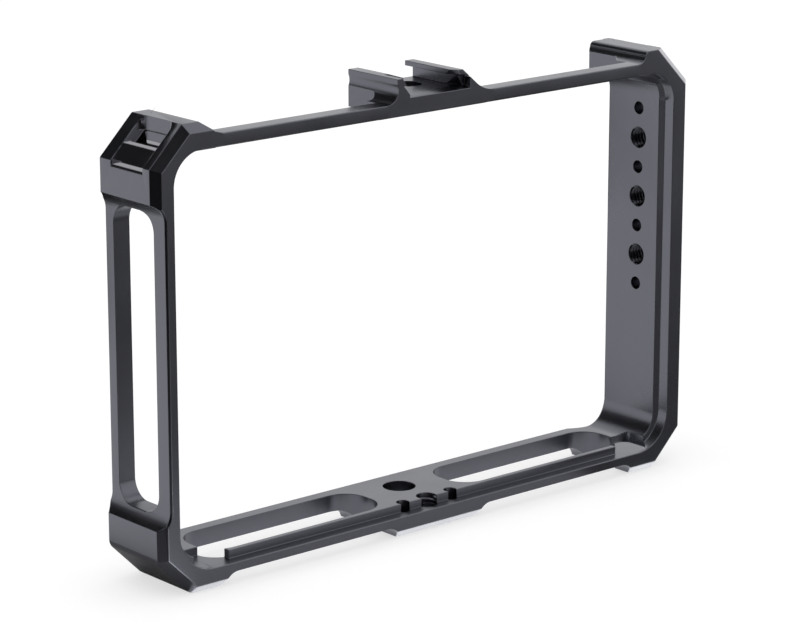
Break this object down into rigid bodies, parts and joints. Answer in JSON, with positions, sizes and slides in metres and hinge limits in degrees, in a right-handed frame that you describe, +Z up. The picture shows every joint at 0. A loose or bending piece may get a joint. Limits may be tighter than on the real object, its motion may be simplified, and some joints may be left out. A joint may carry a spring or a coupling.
{
  "type": "monitor cage",
  "caption": "Rectangular milled aluminium cage for a small field monitor, with cut-off corners, a slotted bottom rail, threaded holes in one side and a cold shoe on top.",
  "frame": {"origin": "centre of the bounding box at its base, the plane of the feet and the middle pad", "axes": "+X across the screen to the viewer's right, +Y from the front (screen) face to the rear, +Z up to the cold shoe"},
  "size_m": [0.2094, 0.0286, 0.1405],
  "materials": {
    "frame": "satin dark grey anodised, finely milled"
  },
  "bodies": {
    "root": {"bottom_rail": "frame", "top_rail_left": "frame", "top_rail_right": "frame", "left_post": "frame", "right_post": "frame", "corner_bottom_left": "frame", "corner_bottom_right": "frame", "corner_top_left": "frame", "corner_top_right": "frame", "cold_shoe": "frame"}
  },
  "joints": []
}
